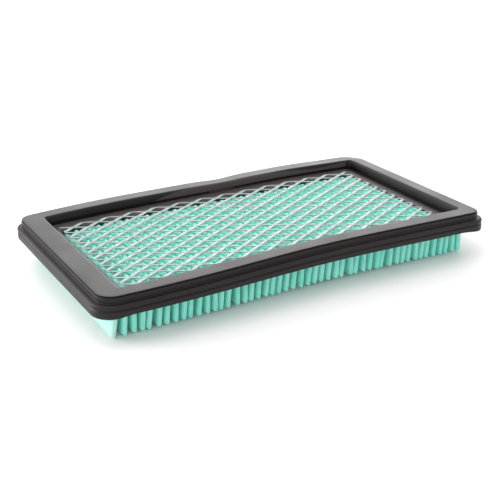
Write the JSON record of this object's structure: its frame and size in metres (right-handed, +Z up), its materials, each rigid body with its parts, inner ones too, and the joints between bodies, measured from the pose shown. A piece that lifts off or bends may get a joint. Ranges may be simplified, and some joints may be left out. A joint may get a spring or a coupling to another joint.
{
  "type": "panel air filter element",
  "caption": "Flat rectangular air filter element for a small engine: pleated paper pack in a moulded rubber seal frame with an expanded-metal screen on top.",
  "frame": {"origin": "centre of the pleated pack's underside, where the element stands on a table", "axes": "+X along the length, +Y across the width along the pleats, +Z up through the screen"},
  "size_m": [0.133, 0.076, 0.0141],
  "materials": {
    "seal_rubber": "satin black moulded rubber",
    "filter_paper": "matte teal treated paper",
    "screen_metal": "zinc-plated sheet, slit and stretched",
    "glue": "cloudy hot-melt glue"
  },
  "bodies": {
    "root": {"seal_frame": "seal_rubber", "pleated_media": "filter_paper", "front_pleat_glue": "glue", "rear_pleat_glue": "glue", "metal_screen": "screen_metal"}
  },
  "joints": []
}
